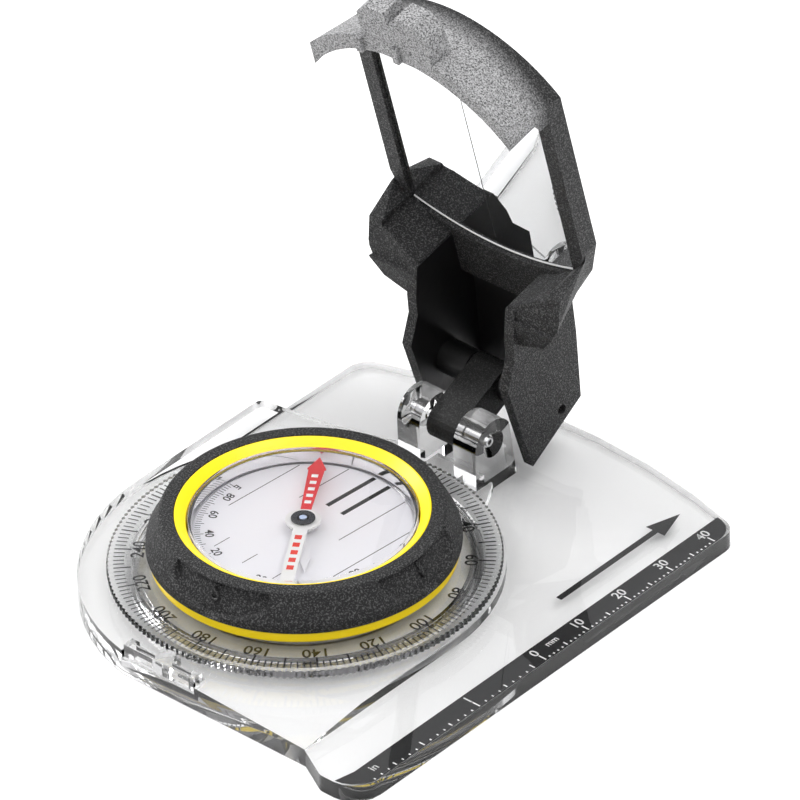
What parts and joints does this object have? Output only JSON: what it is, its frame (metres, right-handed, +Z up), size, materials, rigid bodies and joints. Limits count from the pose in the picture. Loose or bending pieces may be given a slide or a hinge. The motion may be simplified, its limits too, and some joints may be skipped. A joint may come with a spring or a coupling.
{
  "type": "baseplate compass",
  "caption": "Mirror sighting compass: clear base plate with ruler edge, turning bezel with liquid capsule and needle, and a folding cover with a mirror and a sight notch.",
  "frame": {"origin": "on the underside of the base plate, under the middle of the dial", "axes": "+Z up from the underside, +Y along the direction of travel towards the hinge, +X towards the ruler edge"},
  "size_m": [0.0801, 0.0939, 0.0937],
  "materials": {
    "clear_acrylic": "clear moulded acrylic, polished",
    "yellow_plastic": "bright yellow moulded plastic, satin",
    "black_rubber": "dark grey rubber, fine matt grain",
    "white_felt": "pressed felt",
    "black_plastic": "black moulded plastic with a light grain",
    "steel": "bright stainless steel",
    "mirror_silver": "silvered, with a black sighting line",
    "white_foam": "closed-cell adhesive foam",
    "printed_film": "pale film with printed lines",
    "needle_paint": "red north half, white south half",
    "blue_jewel": "polished synthetic jewel"
  },
  "bodies": {
    "base": {"base_plate": "clear_acrylic", "hinge_pin": "steel", "bezel_catch": "clear_acrylic", "drag_ring": "white_felt"},
    "link": {"hinge_link": "black_plastic"},
    "cover": {"cover_shell": "black_plastic", "cover_pin": "steel", "mirror": "mirror_silver", "mirror_pad": "white_foam"},
    "bezel": {"azimuth_ring": "clear_acrylic", "bezel_core": "yellow_plastic", "bezel_grip": "black_rubber", "bezel_retainer": "clear_acrylic"},
    "capsule": {"capsule_cup": "clear_acrylic", "capsule_lid": "clear_acrylic", "capsule_seal": "black_rubber", "fill_plug": "clear_acrylic", "meridian_disc": "printed_film", "pivot_post": "steel"},
    "needle": {"needle_blade": "needle_paint", "needle_cap": "black_plastic", "needle_jewel": "blue_jewel", "needle_magnet": "steel"},
    "clinometer": {"clinometer_pointer": "printed_film"}
  },
  "joints": [
    {"name": "cover_fold", "type": "hinge", "parent": "link", "child": "cover", "pos_m": [0, 0.0445, 0.01575], "axis": [1, 0, 0], "range_deg": [-98, 103.2]},
    {"name": "link_fold", "type": "hinge", "parent": "base", "child": "link", "pos_m": [0, 0.0353, 0.0113], "axis": [1, 0, 0], "range_deg": [-30, 40]},
    {"name": "bezel_turn", "type": "hinge", "parent": "base", "child": "bezel", "pos_m": [0, 0, 0.0048], "axis": [0, 0, 1], "continuous": true},
    {"name": "declination_turn", "type": "hinge", "parent": "bezel", "child": "capsule", "pos_m": [0, 0, 0.0048], "axis": [0, 0, 1], "range_deg": [-90, 90]},
    {"name": "needle_turn", "type": "hinge", "parent": "capsule", "child": "needle", "pos_m": [0, 0, 0.0114], "axis": [0, 0, 1], "continuous": true},
    {"name": "clinometer_turn", "type": "hinge", "parent": "capsule", "child": "clinometer", "pos_m": [0, 0, 0.009], "axis": [0, 0, 1], "continuous": true}
  ],
  "couplings": [
    {"joint": "link_fold", "follows": "cover_fold", "ratio": -0.2597}
  ]
}
